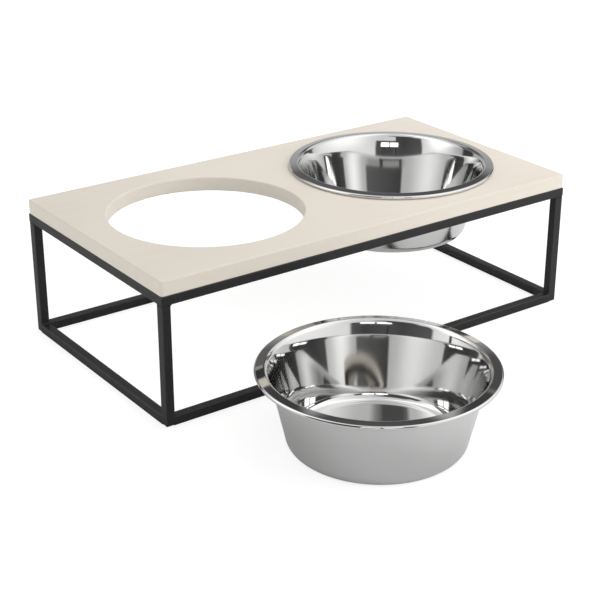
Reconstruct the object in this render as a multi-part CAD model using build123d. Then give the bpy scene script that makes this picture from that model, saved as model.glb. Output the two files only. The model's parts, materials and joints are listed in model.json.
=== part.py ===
from build123d import *
from math import cos, hypot, radians, sin, sqrt, tan
import os

os.makedirs("parts", exist_ok=True)

# Elevated feeder for two bowls: a lacquered board with two round holes on a welded frame of
# square tube. One bowl hangs in the right hole, the other is lifted out and stands on the floor
# in front. Millimetres, +Z up, the floor is z = 0, the long side runs along X, the front is -Y.

# ---- driving sizes ----
hole_radius = 105.0
hole_end_margin = 34.0    # board left between a hole and the end of the board, along X
hole_side_margin = 35.0   # and between a hole and the board's front or rear edge
hole_gap = 42.0           # board left between the two holes
hole_ease = 1.5           # rounding of both edges of a hole
board_thick = 16.0
board_corner = 3.0        # radius of the board's upright corners
board_ease = 1.2          # rounding of the board's top and bottom edges

tube = 10.0               # outside width of the square tube
tube_wall = 1.2
tube_corner = 1.0         # corner radius outside the tube
bore_corner = 0.4         # and inside it
frame_height = 140.0      # floor to the underside of the board
cap_thick = 3.0           # plate that closes the foot of a leg
cap_round = 2.4           # its two outer lower edges are ground round
weld_leg = 2.2            # leg of a fillet weld's triangular section

tab_reach = 26.0          # corner tab under the board, measured along each rail
tab_nose = 8.0            # width left at each of the tab's two tips
tab_thick = 2.0
screw_inset = 9.0         # screw axis from the two rails' inner faces
screw_radius = 1.75
screw_point = 3.5         # length of the conical point
screw_tip = 0.3           # radius left at the very tip
screw_head_radius = 3.6
screw_head_height = 2.2
screw_head_round = 1.3
recess_span = 3.6         # cross recess in the head: arm length, width and depth
recess_width = 0.7
recess_depth = 1.1
tab_hole_clear = 0.45     # radial clearance of the screw in the tab
pilot_clear = 0.05        # radial clearance of the plain shank in its pilot hole
pilot_extra = 1.0         # pilot hole beyond the screw's tip
pilot_cover = 4.0         # board left above a pilot hole

sheet = 0.6               # bowl sheet thickness
rim_overhang = 13.0       # rolled rim beyond the wall of the hole
rim_roll = 4.0            # height of the rolled edge
rim_hem = 1.4             # straight end of the roll after its second bend
rim_slope = 6.0           # the rim's ring falls outwards, degrees
ring_width = 9.8          # flat ring of the rim, with its roll
neck_clear = 0.5          # gap between the hole and the bowl's neck, just under the hole's top ease
bowl_drop = 76.0          # rolled edge's underside to the foot of the bowl
bowl_draft = 12.9         # wall from the vertical, degrees
mouth_draft = 21.5        # the wall's flare through the hole
shoulder_draft = 50.0     # and from there up to the ring
mouth_drop = 6.2          # board's top down to the corner between wall and flare
shoulder_bend = 1.5       # bend radii, on the middle of the sheet
neck_bend = 8.0
mouth_bend = 80.0
foot_bend = 10.0
kick_bend = 700.0
kick_inset = 17.0         # raised middle of the bottom: its edge from the foot's corner,
kick_ramp = 60.0          # the width of its ramp
kick_rise = 0.6           # and its height

loose_shift = 12.5        # loose bowl's axis to the right of the empty hole's axis
loose_gap = 22.0          # between its rim and the front of the frame

cut_past = 1.0            # how far a cutting solid runs past the face it cuts

# ---- derived places ----
board_length = 2 * hole_end_margin + 4 * hole_radius + hole_gap
board_depth = 2 * (hole_side_margin + hole_radius)
half_length = board_length / 2
rim_radius = hole_radius + rim_overhang
loose_ahead = rim_radius + loose_gap
front_y = (loose_ahead + rim_radius - board_depth) / 2   # the whole set is centred on Y = 0
rear_y = front_y + board_depth
mid_y = (front_y + rear_y) / 2
top_z = frame_height + board_thick
rail_mid_z = frame_height - tube / 2
tab_low_z = frame_height - tab_thick
hole_x = hole_gap / 2 + hole_radius
screw_bite = board_thick - pilot_cover - pilot_extra

# four corners of the plan as X, Y and the direction along X and along Y towards the middle
corners = [(-half_length, front_y, 1, 1), (half_length, front_y, -1, 1),
           (-half_length, rear_y, 1, -1), (half_length, rear_y, -1, -1)]
screw_places = []
for corner_x, corner_y, sx, sy in corners:
    screw_places.append((corner_x + sx * (tube + screw_inset), corner_y + sy * (tube + screw_inset)))

on_base = (Align.CENTER, Align.CENTER, Align.MIN)
under_top = (Align.CENTER, Align.CENTER, Align.MAX)


def tube_along_z(length):
    """Square tube standing on z = 0, its axis on the Z axis."""
    bore = tube - 2 * tube_wall
    section = RectangleRounded(tube, tube, tube_corner) - RectangleRounded(bore, bore, bore_corner)
    return extrude(section, length)


def tube_along_x(length):
    """Square tube from x = 0, its axis on the X axis."""
    return Rot(0, 90, 0) * tube_along_z(length)


def mitred_rail(length):
    """Rail along X, middle at the origin, its long face towards -Y, both ends cut at 45 degrees."""
    half = length / 2
    blank = Pos(-half, 0, 0) * tube_along_x(length)
    plan = make_face(Polyline((-half, -tube / 2), (half, -tube / 2), (half - tube, tube / 2),
                              (tube - half, tube / 2), close=True))
    return blank & extrude(plan, tube, both=True)


def sheet_section(points, bends, thick):
    """Closed section of a bent sheet: a centre line with a bend radius at each inner corner."""
    half = thick / 2
    units = []
    for (ax, ay), (bx, by) in zip(points, points[1:]):
        run = hypot(bx - ax, by - ay)
        units.append(((bx - ax) / run, (by - ay) / run))

    def shifted(i, side):
        # corner i of the line after it moves sideways by half the sheet, left when side is 1
        px, py = points[i]
        ux, uy = units[max(i - 1, 0)]
        along = 0
        if 0 < i < len(points) - 1:
            vx, vy = units[i]
            along = -side * half * (1 - ux * vx - uy * vy) / (ux * vy - uy * vx)
        return px - side * half * uy + along * ux, py + side * half * ux + along * uy

    def side_edges(side):
        start, end = shifted(0, side), shifted(len(points) - 1, side)
        edges, at = [], start
        for i in range(1, len(points) - 1):
            (ux, uy), (vx, vy) = units[i - 1], units[i]
            turn_left = 1 if ux * vy - uy * vx > 0 else -1
            radius = bends[i - 1] - side * half * turn_left
            dot = ux * vx + uy * vy
            reach = radius * sqrt((1 - dot) / (1 + dot))
            x, y = shifted(i, side)
            enter = (x - reach * ux, y - reach * uy)
            leave = (x + reach * vx, y + reach * vy)
            # the arc's middle lies on the line from the corner to the arc's centre
            to_arc = (hypot(radius, reach) - radius) / hypot(vx - ux, vy - uy)
            middle = (x + (vx - ux) * to_arc, y + (vy - uy) * to_arc)
            edges += [Line(at, enter), ThreePointArc(enter, middle, leave)]
            at = leave
        return edges + [Line(at, end)], start, end

    left, left_start, left_end = side_edges(1)
    right, right_start, right_end = side_edges(-1)
    return make_face(left + right + [Line(left_end, right_end), Line(right_start, left_start)])


def bowl_at_origin():
    """Deep-drawn bowl with a rolled rim, its foot on z = 0 and its axis on the Z axis."""
    half = sheet / 2
    lean = tan(radians(bowl_draft))
    flare = tan(radians(mouth_draft))
    slant = tan(radians(shoulder_draft))
    # the flare's line where it passes the board's top
    neck = hole_radius - neck_clear - half / cos(radians(mouth_draft)) + hole_ease * flare
    rim_out = rim_radius - half
    roll_low = bowl_drop + half
    roll_top = bowl_drop + rim_roll - half
    ring_r = rim_radius - ring_width
    ring_z = roll_top + (rim_out - ring_r) * tan(radians(rim_slope))
    # the shoulder's line, down from the ring, meets the flare's line
    neck_z = (neck - ring_r + ring_z * slant - bowl_drop * flare) / (slant - flare)
    neck_r = ring_r - (ring_z - neck_z) * slant
    mouth_r = neck - mouth_drop * flare
    mouth_z = bowl_drop - mouth_drop
    foot_r = mouth_r - (mouth_z - half) * lean
    kick_r = foot_r - kick_inset
    roll_bend = (rim_roll - sheet) / 2
    hem_end = rim_out - roll_bend - rim_hem
    line = [(0, half + kick_rise), (kick_r - kick_ramp, half + kick_rise), (kick_r, half),
            (foot_r, half), (mouth_r, mouth_z), (neck_r, neck_z), (ring_r, ring_z),
            (rim_out, roll_top), (rim_out, roll_low), (hem_end, roll_low)]
    bends = [kick_bend, kick_bend, foot_bend, mouth_bend, neck_bend, shoulder_bend,
             roll_bend, roll_bend]
    return revolve(Plane.XZ * sheet_section(line, bends, sheet), Axis.Z)


def weld_bead(length):
    """Fillet weld with its right angle on the Y axis, its faces on +X and -Z, centred along Y."""
    section = make_face(Polyline((0, 0), (weld_leg, 0), (0, -weld_leg), close=True))
    return extrude(Plane.XZ * section, length / 2, both=True)


def corner_tab(sx, sy):
    """Plate between two top rails, its inner corner at the origin, its underside on z = 0."""
    outline = [(0, 0), (tab_reach, 0), (tab_reach, tab_nose), (tab_nose, tab_reach), (0, tab_reach)]
    plate = extrude(make_face(Polyline(*[(x * sx, y * sy) for x, y in outline], close=True)),
                    tab_thick)
    hole = Cylinder(screw_radius + tab_hole_clear, 2 * (tab_thick + cut_past))
    return plate - Pos(sx * screw_inset, sy * screw_inset, 0) * hole


def tab_screw():
    """Pan-head wood screw, point up, the face of its head that bears on the tab on z = 0."""
    shank_length = tab_thick + screw_bite - screw_point
    shank = Cylinder(screw_radius, shank_length, align=on_base)
    point = Pos(0, 0, shank_length) * Cone(screw_radius, screw_tip, screw_point, align=on_base)
    head = Cylinder(screw_head_radius, screw_head_height, align=under_top)
    head = fillet(head.edges().group_by(Axis.Z)[0], screw_head_round)
    arm = Box(recess_span, recess_width, recess_depth + cut_past, align=under_top)
    recess = Pos(0, 0, recess_depth - screw_head_height) * (arm + Rot(0, 0, 90) * arm)
    return head - recess + shank + point


def foot_cap(sx, sy):
    """Plate that closes a leg's foot on z = 0; its edges away from the middle are round."""
    half = tube / 2
    above = cap_thick + cut_past
    bulge = cap_round * (1 - sin(radians(45)))
    # section with one round corner; what lies inside it both ways is kept
    section = make_face([
        Line((-half, cap_round), (-half, above)), Line((-half, above), (half, above)),
        Line((half, above), (half, 0)), Line((half, 0), (cap_round - half, 0)),
        ThreePointArc((cap_round - half, 0), (bulge - half, bulge), (-half, cap_round))])
    strip = extrude(Plane.XZ * section, tube, both=True)
    block = extrude(RectangleRounded(tube, tube, tube_corner), cap_thick)
    along_x = 0 if sx > 0 else 180
    along_y = 90 if sy > 0 else 270
    return block & (Rot(0, 0, along_x) * strip) & (Rot(0, 0, along_y) * strip)


def lacquered_board():
    """Board centred on the Z axis, its underside on z = 0."""
    board = extrude(RectangleRounded(board_length, board_depth, board_corner), board_thick)
    levels = board.edges().group_by(Axis.Z)
    board = fillet(levels[0] + levels[-1], board_ease)
    for x in (-hole_x, hole_x):
        board -= Pos(x, 0, 0) * Cylinder(hole_radius, 2 * (board_thick + cut_past))
    circles = board.edges().filter_by(GeomType.CIRCLE)
    board = fillet([edge for edge in circles if edge.radius > board_corner + board_ease], hole_ease)
    pilot = Cylinder(screw_radius + pilot_clear, screw_bite + pilot_extra, align=on_base)
    for x, y in screw_places:
        board -= Pos(x, y - mid_y, 0) * pilot
    return board


def save(name, shape):
    shape.label = name
    export_step(shape, f"parts/{name}.step")


# ---- board ----
save("board", Pos(0, mid_y, frame_height) * lacquered_board())

# ---- top ring: four mitred rails ----
long_rail = mitred_rail(board_length)
short_rail = mitred_rail(board_depth)
save("top_rail_front", Pos(0, front_y + tube / 2, rail_mid_z) * long_rail)
save("top_rail_rear", Pos(0, rear_y - tube / 2, rail_mid_z) * Rot(0, 0, 180) * long_rail)
save("top_rail_left", Pos(-half_length + tube / 2, mid_y, rail_mid_z) * Rot(0, 0, -90) * short_rail)
save("top_rail_right", Pos(half_length - tube / 2, mid_y, rail_mid_z) * Rot(0, 0, 90) * short_rail)

# ---- legs, each from its foot plate up to the top ring ----
leg_names = ["leg_front_left", "leg_front_right", "leg_rear_left", "leg_rear_right"]
leg = tube_along_z(frame_height - tube - cap_thick)
caps = []
for name, (corner_x, corner_y, sx, sy) in zip(leg_names, corners):
    axis_x, axis_y = corner_x + sx * tube / 2, corner_y + sy * tube / 2
    save(name, Pos(axis_x, axis_y, cap_thick) * leg)
    caps.append(Pos(axis_x, axis_y, 0) * foot_cap(sx, sy))
save("leg_caps", Compound(children=caps))

# ---- bottom rails between the legs, flush with their outer faces and the floor ----
long_low = tube_along_x(board_length - 2 * tube)
short_low = Rot(0, 0, 90) * tube_along_x(board_depth - 2 * tube)
save("bottom_rail_front", Pos(-half_length + tube, front_y + tube / 2, tube / 2) * long_low)
save("bottom_rail_rear", Pos(-half_length + tube, rear_y - tube / 2, tube / 2) * long_low)
save("bottom_rail_left", Pos(-half_length + tube / 2, front_y + tube, tube / 2) * short_low)
save("bottom_rail_right", Pos(half_length - tube / 2, front_y + tube, tube / 2) * short_low)

# ---- fillet welds in the inner corners of leg and rail, two at each end of a leg ----
bead = weld_bead(tube - 2 * tube_corner)
upper, lower = [], []
for corner_x, corner_y, sx, sy in corners:
    along_x = Pos(corner_x + sx * tube, corner_y + sy * tube / 2) * Rot(0, 0, 0 if sx > 0 else 180)
    along_y = Pos(corner_x + sx * tube / 2, corner_y + sy * tube) * Rot(0, 0, 90 if sy > 0 else 270)
    for place in (along_x, along_y):
        upper.append(Pos(0, 0, frame_height - tube) * place * bead)
        lower.append(Pos(0, 0, tube) * place * mirror(bead, Plane.XY))
save("upper_welds", Compound(children=upper))
save("lower_welds", Compound(children=lower))

# ---- corner tabs and the screws that hold the board ----
tabs, screws = [], []
for (corner_x, corner_y, sx, sy), (x, y) in zip(corners, screw_places):
    tabs.append(Pos(corner_x + sx * tube, corner_y + sy * tube, tab_low_z) * corner_tab(sx, sy))
    screws.append(Pos(x, y, tab_low_z) * tab_screw())
save("corner_tabs", Compound(children=tabs))
save("tab_screws", Compound(children=screws))

# ---- bowls ----
bowl = bowl_at_origin()
save("set_bowl", Pos(hole_x, mid_y, top_z - bowl_drop) * bowl)
save("loose_bowl", Pos(loose_shift - hole_x, front_y - loose_ahead, 0) * bowl)
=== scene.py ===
import json
from math import atan2, cos, hypot, pi, radians, sin, tan

import bpy
import numpy as np
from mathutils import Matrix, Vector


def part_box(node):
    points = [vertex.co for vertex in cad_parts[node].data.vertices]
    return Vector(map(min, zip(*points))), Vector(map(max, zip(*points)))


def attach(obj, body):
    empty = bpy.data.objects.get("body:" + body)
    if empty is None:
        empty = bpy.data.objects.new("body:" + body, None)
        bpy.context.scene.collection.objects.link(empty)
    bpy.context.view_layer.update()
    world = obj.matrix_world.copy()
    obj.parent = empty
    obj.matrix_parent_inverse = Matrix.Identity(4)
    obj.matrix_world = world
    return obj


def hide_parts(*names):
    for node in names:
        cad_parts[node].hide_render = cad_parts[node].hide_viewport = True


# Raised feeder for two steel bowls: a lacquered board on a welded frame of square tube, one bowl
# hung in its hole and one on the floor. Metres, +Z up, floor at z = 0, the front is -Y.

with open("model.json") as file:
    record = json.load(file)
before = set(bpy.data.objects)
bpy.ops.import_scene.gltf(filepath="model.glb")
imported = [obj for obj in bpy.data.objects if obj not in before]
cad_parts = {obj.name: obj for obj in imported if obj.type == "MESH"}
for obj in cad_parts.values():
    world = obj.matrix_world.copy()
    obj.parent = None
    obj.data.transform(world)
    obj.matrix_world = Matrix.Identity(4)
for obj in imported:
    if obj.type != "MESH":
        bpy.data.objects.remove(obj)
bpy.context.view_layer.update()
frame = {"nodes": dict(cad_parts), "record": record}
print("frame loaded,", len(frame["nodes"]), "nodes")


# materials

def newMaterial(name):
    material = bpy.data.materials.new(name)
    material.use_nodes = True
    nodes = material.node_tree.nodes
    return material, nodes, material.node_tree.links, nodes["Principled BSDF"]


def addNode(nodes, kind, settings=None, **inputs):
    # inputs are named like the sockets, with _ for a blank
    node = nodes.new(kind)
    for key, value in (settings or {}).items():
        setattr(node, key, value)
    for key, value in inputs.items():
        node.inputs[key.replace("_", " ")].default_value = value
    return node


def objectPlace(nodes):
    return nodes.new("ShaderNodeTexCoord").outputs["Object"]


def readAttribute(nodes, name, output="Fac"):
    return addNode(nodes, "ShaderNodeAttribute", {"attribute_name": name}).outputs[output]


def addNoise(nodes, links, place, scale, detail, rough=0.5, distortion=0.0):
    # scale is one number, or three to stretch the noise along x, y and z
    if isinstance(scale, tuple):
        stretch = addNode(nodes, "ShaderNodeMapping", Scale=scale)
        links.new(place, stretch.inputs["Vector"])
        place, scale = stretch.outputs[0], 1.0
    noise = addNode(nodes, "ShaderNodeTexNoise", Scale=scale, Detail=detail, Roughness=rough,
                    Distortion=distortion)
    links.new(place, noise.inputs["Vector"])
    return noise.outputs[0]


def addRamp(nodes, links, source, low, high):
    # low and high are (position, grey)
    ramp = nodes.new("ShaderNodeValToRGB")
    for stop, (position, tone) in zip(ramp.color_ramp.elements, (low, high)):
        stop.position = position
        stop.color = (tone, tone, tone, 1)
    links.new(source, ramp.inputs["Fac"])
    return ramp.outputs["Color"]


def addMix(nodes, links, factor, a, b):
    # factor is a socket; a and b are a socket or a colour
    mix = nodes.new("ShaderNodeMix")
    mix.data_type = "RGBA"   # its colour sockets are 6 and 7 in, 2 out
    for socket, value in ((mix.inputs[0], factor), (mix.inputs[6], a), (mix.inputs[7], b)):
        if isinstance(value, tuple):
            socket.default_value = (*value, 1)
        else:
            links.new(value, socket)
    return mix.outputs[2]


def addBumps(nodes, links, shader, layers):
    # layers are (height socket, strength, depth in metres); each one is laid over the last
    normal = None
    for height, strength, depth in layers:
        bump = addNode(nodes, "ShaderNodeBump", Strength=strength, Distance=depth)
        links.new(height, bump.inputs["Height"])
        if normal:
            links.new(normal, bump.inputs["Normal"])
        normal = bump.outputs["Normal"]
    links.new(normal, shader.inputs["Normal"])


boardFinish = dict(
    cream=(0.765, 0.705, 0.618),        # the lacquer
    creamWarm=(0.745, 0.680, 0.590),    # where the grain shows through
    edgeShade=(0.705, 0.647, 0.564),         # painted shade on the eased edges, to dim their highlight
    roughLow=0.34, roughHigh=0.50,
    grainLength=9.0, grainWidth=110.0,  # noise scales along and across the board, per metre
    cloudScale=7.0, stippleScale=900.0,
    grainDepth=0.00006, stippleDepth=0.00003)


def lacquer():
    # warm streaks of grain on cream, hidden in cloudy patches, with painted shade on the eased edges
    f = boardFinish
    material, nodes, links, shader = newMaterial("creamLacquer")
    place = objectPlace(nodes)
    stretch = (f["grainLength"], f["grainWidth"], f["grainWidth"])
    grain = addNoise(nodes, links, place, stretch, detail=7.0, rough=0.62, distortion=0.6)
    streaks = addRamp(nodes, links, grain, (0.40, 0.0), (0.66, 1.0))
    cloud = addNoise(nodes, links, place, f["cloudScale"], detail=3.0)
    patches = addRamp(nodes, links, cloud, (0.35, 0.0), (0.65, 1.0))
    tone = addMix(nodes, links, streaks, f["cream"], f["creamWarm"])
    tone = addMix(nodes, links, patches, tone, f["cream"])
    # painted shade on the eased edges
    tone = addMix(nodes, links, readAttribute(nodes, "edge"), tone, f["edgeShade"])
    links.new(tone, shader.inputs["Base Color"])
    rough = addRamp(nodes, links, cloud, (0.30, f["roughLow"]), (0.70, f["roughHigh"]))
    links.new(rough, shader.inputs["Roughness"])
    stipple = addNoise(nodes, links, place, f["stippleScale"], detail=2.0)
    addBumps(nodes, links, shader, [(streaks, 0.5, f["grainDepth"]), (stipple, 0.5, f["stippleDepth"])])
    return material


frameFinish = dict(
    black=(0.010, 0.010, 0.0104), blackDusty=(0.0155, 0.0155, 0.016),
    arrisHighlight=(0.036, 0.036, 0.037),        # painted highlight on the tube's rounded corners
    seamShade=(0.002, 0.002, 0.002),         # painted shade in the groove where a leg's rounded top meets the ring
    specular=0.35, roughLow=0.36, roughHigh=0.52,
    dustScale=38.0, peelScale=700.0, peelDepth=0.00005)


def powderCoat():
    # black with dusty patches, a painted highlight on the arrises and painted shade in the seams, with
    # orange peel
    f = frameFinish
    material, nodes, links, shader = newMaterial("blackPowderCoat")
    place = objectPlace(nodes)
    dust = addNoise(nodes, links, place, f["dustScale"], detail=6.0, rough=0.7)
    patches = addRamp(nodes, links, dust, (0.38, 0.0), (0.72, 1.0))
    tone = addMix(nodes, links, patches, f["black"], f["blackDusty"])
    # painted highlight on the arrises
    tone = addMix(nodes, links, readAttribute(nodes, "edge"), tone, f["arrisHighlight"])
    # painted shade in the seam under the ring
    tone = addMix(nodes, links, readAttribute(nodes, "seamShade"), tone, f["seamShade"])
    links.new(tone, shader.inputs["Base Color"])
    rough = addRamp(nodes, links, dust, (0.30, f["roughLow"]), (0.75, f["roughHigh"]))
    links.new(rough, shader.inputs["Roughness"])
    shader.inputs["Specular IOR Level"].default_value = f["specular"]
    peel = addNoise(nodes, links, place, f["peelScale"], detail=2.0, rough=0.4)
    addBumps(nodes, links, shader, [(peel, 0.6, f["peelDepth"])])
    return material


steelFinish = dict(
    tone=(0.72, 0.72, 0.715), toneDull=(0.69, 0.69, 0.685), satinTone=(0.73, 0.73, 0.727),
    mirrorRough=0.045, satinRough=0.13,
    smearLow=0.8, smearHigh=1.8,        # how far handling varies the polished roughness
    mattLow=0.85, mattHigh=1.15,        # and the polishing lines the satin one
    cloudScale=22.0,
    lineScale=2600.0, roundScale=0.9,   # polishing lines, per metre of section and round the bowl
    mirrorLine=0.000004, satinLine=0.00002)


def bowlSteel():
    # polished inside, satin outside, with lines spun round the axis; "spun" holds
    # (cos a, sin a, length along the section) and "satin" is 1 on the outer skin
    f = steelFinish
    material, nodes, links, shader = newMaterial("bowlSteel")
    shader.inputs["Metallic"].default_value = 1.0
    spun = readAttribute(nodes, "spun", "Vector")
    satin = readAttribute(nodes, "satin")
    stretch = (f["roundScale"], f["roundScale"], f["lineScale"])
    lines = addNoise(nodes, links, spun, stretch, detail=4.0, rough=0.65)
    cloud = addNoise(nodes, links, objectPlace(nodes), f["cloudScale"], detail=5.0, rough=0.6)
    dull = addRamp(nodes, links, cloud, (0.35, 0.0), (0.75, 1.0))
    polished = addMix(nodes, links, dull, f["tone"], f["toneDull"])
    links.new(addMix(nodes, links, satin, polished, f["satinTone"]), shader.inputs["Base Color"])
    smear = addRamp(nodes, links, cloud, (0.30, f["mirrorRough"] * f["smearLow"]),
                    (0.80, f["mirrorRough"] * f["smearHigh"]))
    matt = addRamp(nodes, links, lines, (0.30, f["satinRough"] * f["mattLow"]),
                   (0.70, f["satinRough"] * f["mattHigh"]))
    links.new(addMix(nodes, links, satin, smear, matt), shader.inputs["Roughness"])
    level = (0.5, 0.5, 0.5)
    inner = addMix(nodes, links, satin, lines, level)
    outer = addMix(nodes, links, satin, level, lines)
    addBumps(nodes, links, shader, [(inner, 0.5, f["mirrorLine"]), (outer, 0.6, f["satinLine"])])
    return material


screwFinish = dict(
    zinc=(0.56, 0.57, 0.58), zincDark=(0.40, 0.41, 0.43),
    roughLow=0.30, roughHigh=0.51, spotScale=420.0, spotDepth=0.00003)


def zincPlate():
    # spotted light and dark zinc, rougher where it is dark
    f = screwFinish
    material, nodes, links, shader = newMaterial("zincPlate")
    shader.inputs["Metallic"].default_value = 1.0
    spots = addNoise(nodes, links, objectPlace(nodes), f["spotScale"], detail=5.0, rough=0.6)
    mask = addRamp(nodes, links, spots, (0.35, 0.0), (0.70, 1.0))
    links.new(addMix(nodes, links, mask, f["zinc"], f["zincDark"]), shader.inputs["Base Color"])
    rough = addRamp(nodes, links, spots, (0.3, f["roughLow"]), (0.8, f["roughHigh"]))
    links.new(rough, shader.inputs["Roughness"])
    addBumps(nodes, links, shader, [(spots, 0.4, f["spotDepth"])])
    return material


creamLacquer, blackCoat, steel, zinc = lacquer(), powderCoat(), bowlSteel(), zincPlate()
print("materials ready")


# surfaces to meshes

sharpFrom = radians(35)   # edges that turn more than this stay sharp


def gridFaces(rows, columns, first=0, around=True):
    # Four-sided faces of a grid of points counted row by row from first; around joins the last
    # column to the first.
    index = first + np.arange(rows * columns).reshape(rows, columns)
    if around:
        index = np.hstack([index, index[:, :1]])
    corners = [index[:-1, :-1], index[:-1, 1:], index[1:, 1:], index[1:, :-1]]
    return np.stack(corners, -1).reshape(-1, 4)


def addPiece(name, points, faces, material, body, attributes):
    mesh = bpy.data.meshes.new(name)
    mesh.from_pydata(points.tolist(), [], faces)
    mesh.update()
    mesh.shade_smooth()
    mesh.set_sharp_from_angle(angle=sharpFrom)
    for key, values in attributes.items():
        vector = values.ndim == 2
        layer = mesh.attributes.new(key, "FLOAT_VECTOR" if vector else "FLOAT", "POINT")
        layer.data.foreach_set("vector" if vector else "value", values.ravel().astype(np.float32))
    mesh.materials.append(material)
    piece = bpy.data.objects.new(name, mesh)
    bpy.context.scene.collection.objects.link(piece)
    weigh = piece.modifiers.new("flatFacesStayFlat", "WEIGHTED_NORMAL")
    weigh.keep_sharp = True
    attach(piece, body)
    return piece


def weld(points, faces, values, reach=1e-7):
    # Points at the same place, to within reach, become one; faces follow.
    keys = np.round(points / reach).astype(np.int64)
    _, first, back = np.unique(keys, axis=0, return_index=True, return_inverse=True)
    return points[first], back.reshape(-1)[faces], values[first]


# board

boardLow, boardHigh = (np.array(v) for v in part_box("board"))
holeMount = [m for m in frame["record"]["mounts"] if m["name"] == "bowl_hole"][0]
board = dict(
    low=boardLow, high=boardHigh,
    holeX=abs(holeMount["pos_m"][0]), holeRadius=holeMount["dims"]["r_mm"] / 1000,
    holeEase=0.0015, corner=0.003, ease=0.0012,     # as the solid has them
    sideSteps=72, arcSteps=8,
    faceRows=(0, 0.02, 0.2, 0.5, 0.8, 0.98, 1))     # places on the way from hole to outline


def boardSurface():
    # Each half is a ring round its hole. A point of the flat faces is the straight blend
    # (1 - v) * circle + v * outline along one ray from the hole's middle; the hole and the outline
    # carry quarter rounds: inset = ease * (1 - sin t), drop = ease * (1 - cos t).
    b = board
    half = (b["high"] - b["low"])[:2] / 2
    thick = b["high"][2] - b["low"][2]
    ease, holeEase, n = b["ease"], b["holeEase"], b["sideSteps"]
    inner = half - ease
    cornerRadius = b["corner"] - ease
    straight = inner - cornerRadius
    turn = np.linspace(0, pi / 2, b["arcSteps"] + 1)

    # x, y, outward x, outward y along the right half's outline, inset by the ease, counter-clockwise
    # from the middle of the front edge
    ones = np.ones(n)
    frontX = np.linspace(0, straight[0], n, endpoint=False)
    front = np.stack([frontX, -inner[1] * ones, 0 * ones, -ones], -1)
    cornerX = straight[0] + cornerRadius * np.sin(turn)
    cornerY = -straight[1] - cornerRadius * np.cos(turn)
    frontCorner = np.stack([cornerX, cornerY, np.sin(turn), -np.cos(turn)], -1)
    sideY = np.linspace(-straight[1], straight[1], n + 1)[1:-1]
    side = np.stack([inner[0] + 0 * sideY, sideY, 1 + 0 * sideY, 0 * sideY], -1)
    mirrored = [1, -1, 1, -1]
    outer = np.vstack([front, frontCorner, side, frontCorner[::-1] * mirrored, front[::-1] * mirrored])
    middleY = np.linspace(inner[1], -inner[1], n + 1)[1:-1]
    outline = np.vstack([outer[:, :2], np.stack([0 * middleY, middleY], -1)])
    ray = outline - [b["holeX"], 0]
    ray = ray / np.hypot(ray[:, 0], ray[:, 1])[:, None]
    count = len(outline)

    def level(ring, z):
        return np.column_stack([ring, np.full(len(ring), z)])

    def holeRing(reach):
        return ray * reach + [b["holeX"], 0]

    # underside from the outline in, up through the hole, and out over the top face
    rows, edges = [], []
    # edges hold each rounding's share, which carries the lacquer's painted shade
    lip = b["holeRadius"] + holeEase
    for v in b["faceRows"][::-1]:
        rows.append(level((1 - v) * holeRing(lip) + v * outline, 0))
        edges.append(0)
    for t in turn[1:]:
        rows.append(level(holeRing(lip - holeEase * sin(t)), holeEase * (1 - cos(t))))
        edges.append(sin(2 * t))
    for t in turn[::-1]:
        rows.append(level(holeRing(lip - holeEase * sin(t)), thick - holeEase * (1 - cos(t))))
        edges.append(sin(2 * t))
    for v in b["faceRows"][1:]:
        rows.append(level((1 - v) * holeRing(lip) + v * outline, thick))
        edges.append(0)
    ringFaces = gridFaces(len(rows), count)[:, ::-1]
    ringEdge = np.repeat(edges, count)

    # the outer wall from the top face's edge down to the underside's
    wall, wallEdge = [], []
    for t in turn:
        wall.append(level(outer[:, :2] + outer[:, 2:] * ease * sin(t), thick - ease * (1 - cos(t))))
        wallEdge.append(sin(2 * t))
    for t in turn[::-1]:
        wall.append(level(outer[:, :2] + outer[:, 2:] * ease * sin(t), ease * (1 - cos(t))))
        wallEdge.append(sin(2 * t))
    wallFaces = gridFaces(len(wall), len(outer), len(rows) * count, around=False)[:, ::-1]

    right = np.vstack(rows + wall)
    rightFaces = np.vstack([ringFaces, wallFaces])
    edge = np.concatenate([ringEdge, np.repeat(wallEdge, len(outer))])
    points = np.vstack([right, right * [-1, 1, 1]])
    faces = np.vstack([rightFaces, rightFaces[:, ::-1] + len(right)])
    points, faces, edge = weld(points, faces, np.concatenate([edge, edge]))
    centre = (b["low"] + b["high"]) / 2
    return points + [centre[0], centre[1], b["low"][2]], faces.tolist(), edge


points, faces, edge = boardSurface()
boardPiece = addPiece("feederBoard", points, faces, creamLacquer, "stand", {"edge": edge})
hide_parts("board")
print("board made,", len(faces), "faces")


# frame of square tube

tube = dict(
    corner=0.001, cornerSteps=6,
    endEase=0.0006, easeSteps=4,        # rounding of a leg's top end
    seamShadeFade=0.0005)                    # the painted shade of the seam ends this far below the rounding
up, down = np.array([0, 0, 1.0]), np.array([0, 0, -1.0])


def turned(points, y, z, origin):
    # local x, y, z go to y cross z, y and z
    y, z = np.array(y, float), np.array(z, float)
    return points @ np.array([np.cross(y, z), y, z]) + np.array(origin)


def squareSection(half):
    # counter-clockwise round local x: (y, z) = flat * corner sign + corner radius * (cos t, sin t);
    # the last value is 1 on the arrises
    turn = np.linspace(0, pi / 2, tube["cornerSteps"] + 1)
    quarter = np.repeat(np.arange(4), len(turn)) * pi / 2
    angle = quarter + np.tile(turn, 4)
    flat = half - tube["corner"]
    y = flat * np.sign(np.cos(quarter + pi / 4)) + tube["corner"] * np.cos(angle)
    z = flat * np.sign(np.sin(quarter + pi / 4)) + tube["corner"] * np.sin(angle)
    return y, z, np.sin(2 * np.tile(turn, 4))


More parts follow.
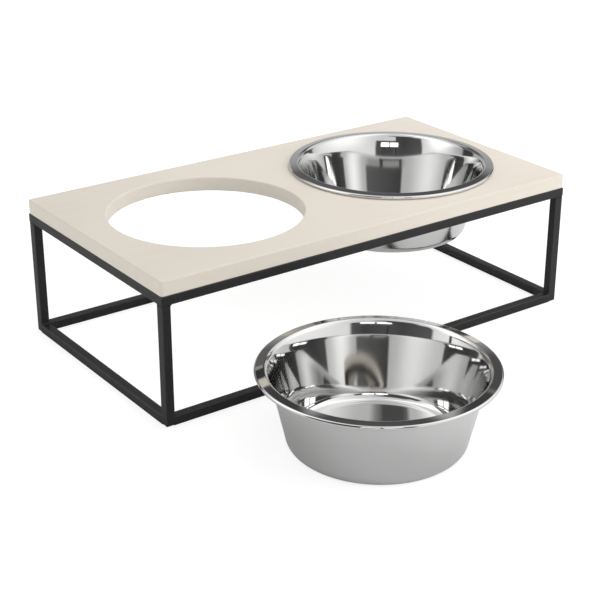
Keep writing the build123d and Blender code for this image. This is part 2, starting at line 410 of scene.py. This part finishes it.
def tubeSurface(half, length, kind):
    # The section is carried along x. A mitred end leans 45 degrees, so a point at y is cut back by
    # y + half. A flush end runs on to fill the rounding of the leg it meets. A leg's top end shrinks
    # by e * (1 - sin t) over e * (1 - cos t), which leaves a seam under the ring.
    y, z, edge = squareSection(half)
    ease = tube["endEase"]
    swing = np.linspace(0, pi / 2, tube["easeSteps"])
    eased = [(ease * (1 - cos(t)), ease * (1 - sin(t)), 1.0) for t in swing]
    low = [(-tube["corner"] if kind == "flush" else 0, 0, 0.0)]   # cut back, shrink, painted seam shade
    high = eased + [(ease + tube["seamShadeFade"], 0, 0.0)] if kind == "leg" else low
    rows = [(-1, *end) for end in low] + [(1, *end) for end in high[::-1]]
    points = []
    for sign, back, shrink, _ in rows:
        scale = 1 - shrink / half
        cut = y + half if kind == "mitred" else 0 * y
        points.append(np.column_stack([sign * (length / 2 - back - cut), y * scale, z * scale]))
    count = len(y)
    around = np.arange(count)
    caps = [around[::-1].tolist(), (around + (len(rows) - 1) * count).tolist()]
    faces = gridFaces(len(rows), count).tolist() + caps
    # painted shade of the seam, 1 on a leg's rounded top end and fading below it
    seamShade = np.repeat([row[3] for row in rows], count)
    return np.vstack(points), faces, np.tile(edge, len(rows)), seamShade


# node, name here, axis, local y, kind; the local -y side of a rail is its outer face
tubes = [("top_rail_front", "topRailFront", 0, (0, 1, 0), "mitred"),
         ("top_rail_rear", "topRailRear", 0, (0, -1, 0), "mitred"),
         ("top_rail_left", "topRailLeft", 1, (1, 0, 0), "mitred"),
         ("top_rail_right", "topRailRight", 1, (-1, 0, 0), "mitred"),
         ("bottom_rail_front", "bottomRailFront", 0, (0, 1, 0), "flush"),
         ("bottom_rail_rear", "bottomRailRear", 0, (0, -1, 0), "flush"),
         ("bottom_rail_left", "bottomRailLeft", 1, (1, 0, 0), "flush"),
         ("bottom_rail_right", "bottomRailRight", 1, (-1, 0, 0), "flush"),
         ("leg_front_left", "legFrontLeft", 2, (0, 1, 0), "leg"),
         ("leg_front_right", "legFrontRight", 2, (0, 1, 0), "leg"),
         ("leg_rear_left", "legRearLeft", 2, (0, 1, 0), "leg"),
         ("leg_rear_right", "legRearRight", 2, (0, 1, 0), "leg")]
for node, name, axis, localY, kind in tubes:
    low, high = (np.array(v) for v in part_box(node))
    localZ = (-1, 0, 0) if axis == 2 else up
    half = (high - low)[(axis + 1) % 3] / 2
    points, faces, edge, seamShade = tubeSurface(half, (high - low)[axis], kind)
    points = turned(points, localY, localZ, (low + high) / 2)
    piece = addPiece(name, points, faces, blackCoat, "stand", {"edge": edge, "seamShade": seamShade})
    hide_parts(node)
print("frame tubes made:", len(tubes))

weldBead = dict(
    leg=0.0022, length=0.0084,
    crown=0.10, ripple=0.09, pitch=0.0011, lean=0.4,   # crown and ripple are shares of the leg
    taperReach=0.97, taperPower=8,
    rows=64, steps=12)


def beadSurface():
    # Three-cornered bar along x with its right angle on the x axis. Its third side is
    # (leg * (1 - t), leg * t) pushed out by leg * (crown + ripple * wave) * 4t(1 - t), with
    # wave = |sin(pi * (x / pitch + lean * (2t - 1)^2))|. Towards both ends it shrinks by
    # sqrt(1 - (taper reach * 2x / length) ^ taper power).
    w = weldBead
    x = np.linspace(-1, 1, w["rows"])[:, None] * w["length"] / 2
    t = np.linspace(0, 1, w["steps"])[None, :]
    taper = np.sqrt(1 - (w["taperReach"] * x / (w["length"] / 2)) ** w["taperPower"])
    wave = np.abs(np.sin(pi * (x / w["pitch"] + w["lean"] * (2 * t - 1) ** 2)))
    push = w["leg"] * (w["crown"] + w["ripple"] * wave) * 4 * t * (1 - t) / np.sqrt(2)
    y = (w["leg"] * (1 - t) + push) * taper
    z = (w["leg"] * t + push) * taper
    rightAngle = np.zeros((w["rows"], 1))
    y, z = np.hstack([rightAngle, y]), np.hstack([rightAngle, z])
    points = np.stack([x + 0 * y, y, z], -1).reshape(-1, 3)
    around = np.arange(w["steps"] + 1)
    caps = [around[::-1], around + (w["rows"] - 1) * len(around)]
    return points, gridFaces(w["rows"], len(around)), caps


# by the way to the frame's middle in x and y: each leg's inner corner and its axis, seen from above
legs = {}
for side, sx in (("left", 1), ("right", -1)):
    for end, sy in (("front", 1), ("rear", -1)):
        low, high = (np.array(v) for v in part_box(f"leg_{end}_{side}"))
        inner = np.where([sx > 0, sy > 0], high[:2], low[:2])
        legs[sx, sy] = inner, (low[:2] + high[:2]) / 2
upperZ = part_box("top_rail_front")[0][2]
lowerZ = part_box("bottom_rail_front")[1][2]
beadPoints, beadFaces, beadCaps = beadSurface()
for node, name, z, away in (("upper_welds", "upperWeldBeads", upperZ, down),
                            ("lower_welds", "lowerWeldBeads", lowerZ, up)):
    points, faces = [], []
    for (sx, sy), (inner, middle) in legs.items():
        for localY, place in (((sx, 0, 0), (inner[0], middle[1])), ((0, sy, 0), (middle[0], inner[1]))):
            first = len(points) * len(beadPoints)
            points.append(turned(beadPoints, localY, away, (*place, z)))
            faces += (beadFaces + first).tolist() + [(cap + first).tolist() for cap in beadCaps]
    points = np.vstack(points)
    piece = addPiece(name, points, faces, blackCoat, "stand", {"edge": np.zeros(len(points))})
    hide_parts(node)
for node, material in (("leg_caps", blackCoat), ("corner_tabs", blackCoat), ("tab_screws", zinc)):
    for slot in frame["nodes"][node].material_slots:
        slot.material = material
print("welds made, foot plates, tabs and screws finished")


# bowls

setLow, setHigh = (np.array(v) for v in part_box("set_bowl"))
bowl = dict(
    rimRadius=(setHigh[0] - setLow[0]) / 2,
    drop=board["high"][2] - setLow[2],        # from the board's top to the bowl's foot
    holeRadius=board["holeRadius"], holeEase=board["holeEase"],
    neckClear=0.0005, sheet=0.0006,           # gap to the hole, thickness
    rimRoll=0.004, rimHem=0.0014,             # height of the rolled edge, its straight end
    ringWidth=0.0098, rimSlope=radians(6.0),  # the ring falls outwards
    mouthDrop=0.0062,                         # the flared mouth ends this far below the board's top
    shoulderDraft=radians(50.0), mouthDraft=radians(21.5), draft=radians(12.9),   # from upright
    shoulderBend=0.0015, neckBend=0.008, mouthBend=0.080, footBend=0.010, kickBend=0.7,   # radii
    kickInset=0.017, kickRamp=0.060, kickRise=0.0006,   # the bottom's raised middle
    satinFade=0.004,                          # the satin fades out over this length before the ring
    around=288, tipSteps=7,
    runStep=0.004, arcStep=radians(4), arcLength=0.0016)   # longest steps along the section


def bentLine(corners, bends):
    # Straight runs joined by arcs: a corner that turns by a with radius R starts R * tan(|a| / 2)
    # before it and swings round a centre R to the side. Returns points, directions and length so far.
    corners = np.array(corners, float)
    way = np.diff(corners, axis=0)
    way /= np.hypot(way[:, 0], way[:, 1])[:, None]
    points, directions, at = [], [], corners[0]
    for u, v, corner, bend in zip(way[:-1], way[1:], corners[1:-1], bends):
        angle = atan2(u[0] * v[1] - u[1] * v[0], u @ v)
        reach = bend * tan(abs(angle) / 2)
        enter = corner - u * reach
        steps = max(1, int(np.ceil(hypot(*(enter - at)) / bowl["runStep"])))
        share = np.arange(steps)[:, None] / steps
        points.append(at + (enter - at) * share)
        directions.append(u + 0 * points[-1])
        centre = enter + bend * np.sign(angle) * np.array([-u[1], u[0]])
        steps = int(np.ceil(abs(angle) / min(bowl["arcStep"], bowl["arcLength"] / bend)))
        swing = angle * np.arange(steps) / steps
        c, s = np.cos(swing), np.sin(swing)
        spoke = enter - centre
        points.append(centre + np.stack([spoke[0] * c - spoke[1] * s, spoke[1] * c + spoke[0] * s], -1))
        directions.append(np.stack([u[0] * c - u[1] * s, u[1] * c + u[0] * s], -1))
        at = corner + v * reach
    steps = max(1, int(np.ceil(hypot(*(corners[-1] - at)) / bowl["runStep"])))
    share = np.arange(steps + 1)[:, None] / steps
    points.append(at + (corners[-1] - at) * share)
    directions.append(way[-1] + 0 * points[-1])
    points, directions = np.vstack(points), np.vstack(directions)
    length = np.concatenate([[0], np.cumsum(np.hypot(*np.diff(points, axis=0).T))])
    return points, directions, length


def bowlSection():
    # Middle line of the sheet as (radius, height), from the foot's centre to the end of the rolled
    # edge, and the ring's inner corner. The neck is where the line up through the hole meets the
    # line down from the ring.
    b = bowl
    half = b["sheet"] / 2
    lean, mouthLean, shoulderLean = tan(b["draft"]), tan(b["mouthDraft"]), tan(b["shoulderDraft"])
    neck = b["holeRadius"] - b["neckClear"] - half / cos(b["mouthDraft"]) + b["holeEase"] * mouthLean
    rimOut = b["rimRadius"] - half
    rollLow, rollTop = b["drop"] + half, b["drop"] + b["rimRoll"] - half
    ringR = b["rimRadius"] - b["ringWidth"]
    ringZ = rollTop + (rimOut - ringR) * tan(b["rimSlope"])
    neckZ = (neck - ringR + ringZ * shoulderLean - b["drop"] * mouthLean) / (shoulderLean - mouthLean)
    neckR = ringR - (ringZ - neckZ) * shoulderLean
    mouthR, mouthZ = neck - b["mouthDrop"] * mouthLean, b["drop"] - b["mouthDrop"]
    footR = mouthR - (mouthZ - half) * lean
    kickR, kickZ = footR - b["kickInset"], half + b["kickRise"]
    rollBend = (b["rimRoll"] - b["sheet"]) / 2
    corners = [(0, kickZ), (kickR - b["kickRamp"], kickZ), (kickR, half), (footR, half),
               (mouthR, mouthZ), (neckR, neckZ), (ringR, ringZ), (rimOut, rollTop),
               (rimOut, rollLow), (rimOut - rollBend - b["rimHem"], rollLow)]
    bends = [b["kickBend"], b["kickBend"], b["footBend"], b["mouthBend"], b["neckBend"],
             b["shoulderBend"], rollBend, rollBend]
    return bentLine(corners, bends), (ringR, ringZ)


def bowlSurface():
    # The section's outer skin, line + half sheet to the right, goes out to the edge, round its end
    # as a half circle, and back as the inner skin; a point at angle a is (r cos a, r sin a, z). Both
    # ends of the section are on the axis and close as fans.
    (line, way, length), ringCorner = bowlSection()
    half = bowl["sheet"] / 2
    right = np.stack([way[:, 1], -way[:, 0]], -1)
    tip = np.linspace(0, pi, bowl["tipSteps"])[1:-1, None]
    rounded = line[-1] + half * (right[-1] * np.cos(tip) + way[-1] * np.sin(tip))
    section = np.vstack([line + half * right, rounded, (line - half * right)[::-1]])
    along = np.concatenate([length, np.full(len(rounded), length[-1]), length[::-1]])
    ringAt = length[np.argmin(np.hypot(*(line - ringCorner).T))]
    fade = np.clip((ringAt - length) / bowl["satinFade"], 0, 1)
    satin = np.concatenate([fade, np.zeros(len(rounded) + len(line))])

    rows, count = len(section) - 2, bowl["around"]
    a = np.linspace(0, 2 * pi, count, endpoint=False)
    r, z, s = section[1:-1, :1], section[1:-1, 1:], along[1:-1, None]
    body = np.stack([r * np.cos(a), r * np.sin(a), z + 0 * a], -1)
    points = np.vstack([body.reshape(-1, 3), [[0, 0, section[0, 1]], [0, 0, section[-1, 1]]]])
    spun = np.stack([np.cos(a) + 0 * r, np.sin(a) + 0 * r, s + 0 * a], -1)
    spun = np.vstack([spun.reshape(-1, 3), [[0, 0, along[0]], [0, 0, along[-1]]]])
    satin = np.concatenate([np.repeat(satin[1:-1], count), satin[[0, -1]]])

    j = np.arange(count)
    after = (j + 1) % count
    bottom, top = rows * count, rows * count + 1
    lastRow = (rows - 1) * count
    bottomFan = np.stack([np.full(count, bottom), after, j], -1)
    topFan = np.stack([lastRow + j, lastRow + after, np.full(count, top)], -1)
    faces = gridFaces(rows, count).tolist() + bottomFan.tolist() + topFan.tolist()
    return points, faces, spun, satin


points, faces, spun, satin = bowlSurface()
for node, name, body in (("set_bowl", "setBowl", "hanging_bowl"),
                         ("loose_bowl", "looseBowl", "floor_bowl")):
    low, high = (np.array(v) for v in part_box(node))
    foot = [*(low + high)[:2] / 2, low[2]]
    piece = addPiece(name, points + foot, faces, steel, body, {"spun": spun, "satin": satin})
    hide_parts(node)
print("bowls made,", len(faces), "faces each")


# floor, lights and camera

studio = dict(
    floorSize=9.0, floorDrop=0.0002,          # the floor lies just under the feet
    floorTone=0.80, floorRough=0.9,
    seenShade=0.34, seenGlow=0.80,            # the floor to the eye: its lit share and its glow
    glossShade=0.77,                          # the floor to the steel: its lit share
    ambient=0.62,
    domeRadius=1.0, domeFoot=-3,              # what the steel shows round the set; foot in degrees
    glossyBounces=12)                         # light goes round inside the polished bowls

# Bearings run clockwise from +Y, elevations up from the floor, both in degrees.
lamps = [  # name, bearing, elevation, distance, width, height, power
    ("frontSoftbox", 142, 24, 2.0, 2.0, 1.2, 20.5),
    ("leftSoftbox", 280, 10, 2.0, 1.6, 0.6, 6.4),
    ("topSoftbox", 70, 66, 1.25, 0.9, 0.9, 5.4)]
cloths = [  # name, tones at bearings, share of the cloth at elevations
    ("frontCloth", [(191, 1), (194, 0.12), (205, 0.07), (226, 0.10)],
     [(12, 1), (33, 1), (36, 0)]),
    ("standCloth", [(226, 0.10), (240, 0.08), (262, 0.12), (268, 0.13), (271, 1)],
     [(12, 1), (42, 1), (44, 0)]),
    ("standTopCloth", [(208, 1), (216, 0.45), (226, 0.08), (250, 0.08), (256, 0.2), (262, 1)],
     [(42, 0), (44, 1), (53, 0.9), (59, 0)]),
    ("rearCloth", [(-22, 1), (-18, 0.22), (8, 0.18), (40, 0.14), (64, 0.10), (68, 1)],
     [(8, 0.35), (24, 0.65), (28, 1), (39, 1), (41, 0)]),
    ("rearTopCloth", [(12, 1), (16, 0.12), (62, 0.12), (67, 1)],
     [(51, 0), (52.5, 1), (58, 1), (61, 0)]),
    ("rearLeftStrip", [(14, 1), (16, 0.12), (21, 0.12), (24, 1)],
     [(39, 0), (41, 1), (52, 1), (53, 0)]),
    ("rearRightStrip", [(58, 1), (60, 0.12), (63, 0.12), (66, 1)],
     [(39, 0), (41, 1), (52, 1), (53, 0)]),
    ("rearHaze", [(-22, 1), (-10, 0.6), (20, 0.6), (64, 0.6), (75, 1)],
     [(39, 0), (41, 1), (52, 1), (56, 0)]),
    ("leftLowCloth", [(296, 1), (318, 0.75), (337, 0.55), (341, 0.10), (358, 0.10), (362, 1)],
     [(4, 1), (23, 1), (27, 0)]),
    ("rightLowCloth", [(64, 1), (68, 0.10), (84, 0.10), (88, 0.8), (100, 1)],
     [(4, 1), (23, 1), (27, 0)])]
panels = [  # bearings from and to, elevations from and to, strength
    (201.5, 214.6, 21, 31, 3.0),
    (216.4, 229.5, 21, 31, 3.0)]
wallTone = [(15, 0.95), (30, 0.83)]           # the bare white wall at elevations
glows = [  # bearing, spread, strength
    (137, 65, 0.64),
    (302, 36, 0.90)]
glowShare = [(15, 0.25), (30, 1.0)]           # share of the glows at elevations


def makeFloor():
    # A flat square. Light falls on its own tone; to the eye and to the steel it has plain ones,
    # each a lit share and a glow.
    s = studio
    half = s["floorSize"] / 2
    mesh = bpy.data.meshes.new("studioFloor")
    corners = [(-half, -half, 0), (half, -half, 0), (half, half, 0), (-half, half, 0)]
    mesh.from_pydata(corners, [], [(0, 1, 2, 3)])
    floor = bpy.data.objects.new("studioFloor", mesh)
    floor.location.z = -s["floorDrop"]
    bpy.context.scene.collection.objects.link(floor)
    material, nodes, links, shader = newMaterial("palePaper")
    shader.inputs["Base Color"].default_value = (s["floorTone"], s["floorTone"], s["floorTone"], 1)
    shader.inputs["Roughness"].default_value = s["floorRough"]
    shader.inputs["Specular IOR Level"].default_value = 0.0
    path = nodes.new("ShaderNodeLightPath")
    result = shader.outputs[0]
    for ray, share, strength in (("Is Camera Ray", s["seenShade"], s["seenGlow"]),
                                 ("Is Glossy Ray", s["glossShade"], 0.0)):
        shade = addNode(nodes, "ShaderNodeBsdfDiffuse", Color=(share, share, share, 1))
        glow = addNode(nodes, "ShaderNodeEmission", Strength=strength)
        both = nodes.new("ShaderNodeAddShader")
        links.new(shade.outputs[0], both.inputs[0])
        links.new(glow.outputs[0], both.inputs[1])
        pick = nodes.new("ShaderNodeMixShader")
        links.new(path.outputs[ray], pick.inputs[0])
        links.new(result, pick.inputs[1])
        links.new(both.outputs[0], pick.inputs[2])
        result = pick.outputs[0]
    links.new(result, nodes["Material Output"].inputs["Surface"])
    mesh.materials.append(material)


def makeWorld():
    # Even white air, of strength 1 where it is seen or mirrored and ambient where it lights.
    world = bpy.data.worlds.new("studioAir")
    bpy.context.scene.world = world
    world.use_nodes = True
    nodes, links = world.node_tree.nodes, world.node_tree.links
    background = nodes["Background"]
    background.inputs["Color"].default_value = (1, 1, 1, 1)
    path = nodes.new("ShaderNodeLightPath")
    seen = path.outputs["Is Camera Ray"]
    for ray in ("Is Glossy Ray", "Is Transmission Ray"):
        either = addNode(nodes, "ShaderNodeMath", {"operation": "MAXIMUM"})
        links.new(seen, either.inputs[0])
        links.new(path.outputs[ray], either.inputs[1])
        seen = either.outputs[0]
    strength = addNode(nodes, "ShaderNodeMapRange", To_Min=studio["ambient"], To_Max=1.0)
    links.new(seen, strength.inputs["Value"])
    links.new(strength.outputs[0], background.inputs["Strength"])


def bearingPlace(bearing, elevation, distance):
    # distance * (sin b cos e, cos b cos e, sin e)
    b, e = np.radians(bearing), np.radians(elevation)
    return distance * np.stack([np.sin(b) * np.cos(e), np.cos(b) * np.cos(e), np.sin(e) + 0 * b], -1)


def makeLamps():
    # Each one faces the middle of the floor. The steel mirrors the dome instead of them.
    for name, bearing, elevation, distance, width, height, power in lamps:
        light = bpy.data.lights.new(name, "AREA")
        light.shape = "RECTANGLE"
        light.size, light.size_y = width, height
        light.energy = power
        item = bpy.data.objects.new(name, light)
        item.location = bearingPlace(bearing, elevation, distance)
        item.rotation_euler = (radians(90 - elevation), 0, radians(180 - bearing))
        item.visible_camera = False
        item.visible_glossy = False
        bpy.context.scene.collection.objects.link(item)


def makeDome():
    # Only the steel mirrors it: radius * (sin b cos e, cos b cos e, sin e) at every degree. Its glow
    # is the wall's tone plus each glow's strength * (1 + cos(pi * way off / spread)) / 2, times
    # 1 - (1 - tone at b) * (share at e) for each cloth, and each panel's strength inside it.
    b, e = np.meshgrid(np.arange(0, 361.0), np.arange(studio["domeFoot"], 91.0))
    tone = np.interp(e, *np.array(wallTone).T)
    for bearing, spread, strength in glows:
        away = np.clip(np.abs(b - bearing) / spread, 0, 1)
        tone += strength * (1 + np.cos(pi * away)) / 2 * np.interp(e, *np.array(glowShare).T)
    for _, tones, shares in cloths:
        (stops, values), (heights, cover) = np.array(tones).T, np.array(shares).T
        cloth = np.interp((b - stops[0]) % 360 + stops[0], stops, values, right=1)
        tone *= 1 - (1 - cloth) * np.interp(e, heights, cover)
    for left, right, low, high, strength in panels:
        tone[(b > left) & (b < right) & (e > low) & (e < high)] = strength
    mesh = bpy.data.meshes.new("reflectedStudio")
    points = bearingPlace(b, e, studio["domeRadius"]).reshape(-1, 3)
    mesh.from_pydata(points.tolist(), [], gridFaces(*b.shape, around=False).tolist())
    layer = mesh.attributes.new("tone", "FLOAT", "POINT")
    layer.data.foreach_set("value", tone.ravel())
    dome = bpy.data.objects.new("reflectedStudio", mesh)
    bpy.context.scene.collection.objects.link(dome)
    material, nodes, links, _ = newMaterial("studioCloth")
    glow = nodes.new("ShaderNodeEmission")
    links.new(readAttribute(nodes, "tone"), glow.inputs["Strength"])
    links.new(glow.outputs[0], nodes["Material Output"].inputs["Surface"])
    material.cycles.emission_sampling = "NONE"
    mesh.materials.append(material)
    dome.visible_camera = False
    dome.visible_diffuse = False
    dome.visible_shadow = False


camera = dict(
    place=(-0.8913, -1.1044, 0.6947),
    yaw=0.6241, pitch=0.4181,                 # turned from +Y towards +X, and down, in radians
    lens=87.23, sensor=36.0)


def makeCamera():
    # Level from side to side, and without a shift.
    lens = bpy.data.cameras.new("camera")
    lens.sensor_width = camera["sensor"]
    lens.lens = camera["lens"]
    item = bpy.data.objects.new("camera", lens)
    item.location = camera["place"]
    item.rotation_euler = (pi / 2 - camera["pitch"], 0, -camera["yaw"])
    bpy.context.scene.collection.objects.link(item)
    bpy.context.scene.camera = item


makeFloor()
makeWorld()
makeLamps()
makeDome()
makeCamera()
bpy.context.scene.view_settings.view_transform = "Standard"
bpy.context.scene.cycles.glossy_bounces = studio["glossyBounces"]
print("studio set")
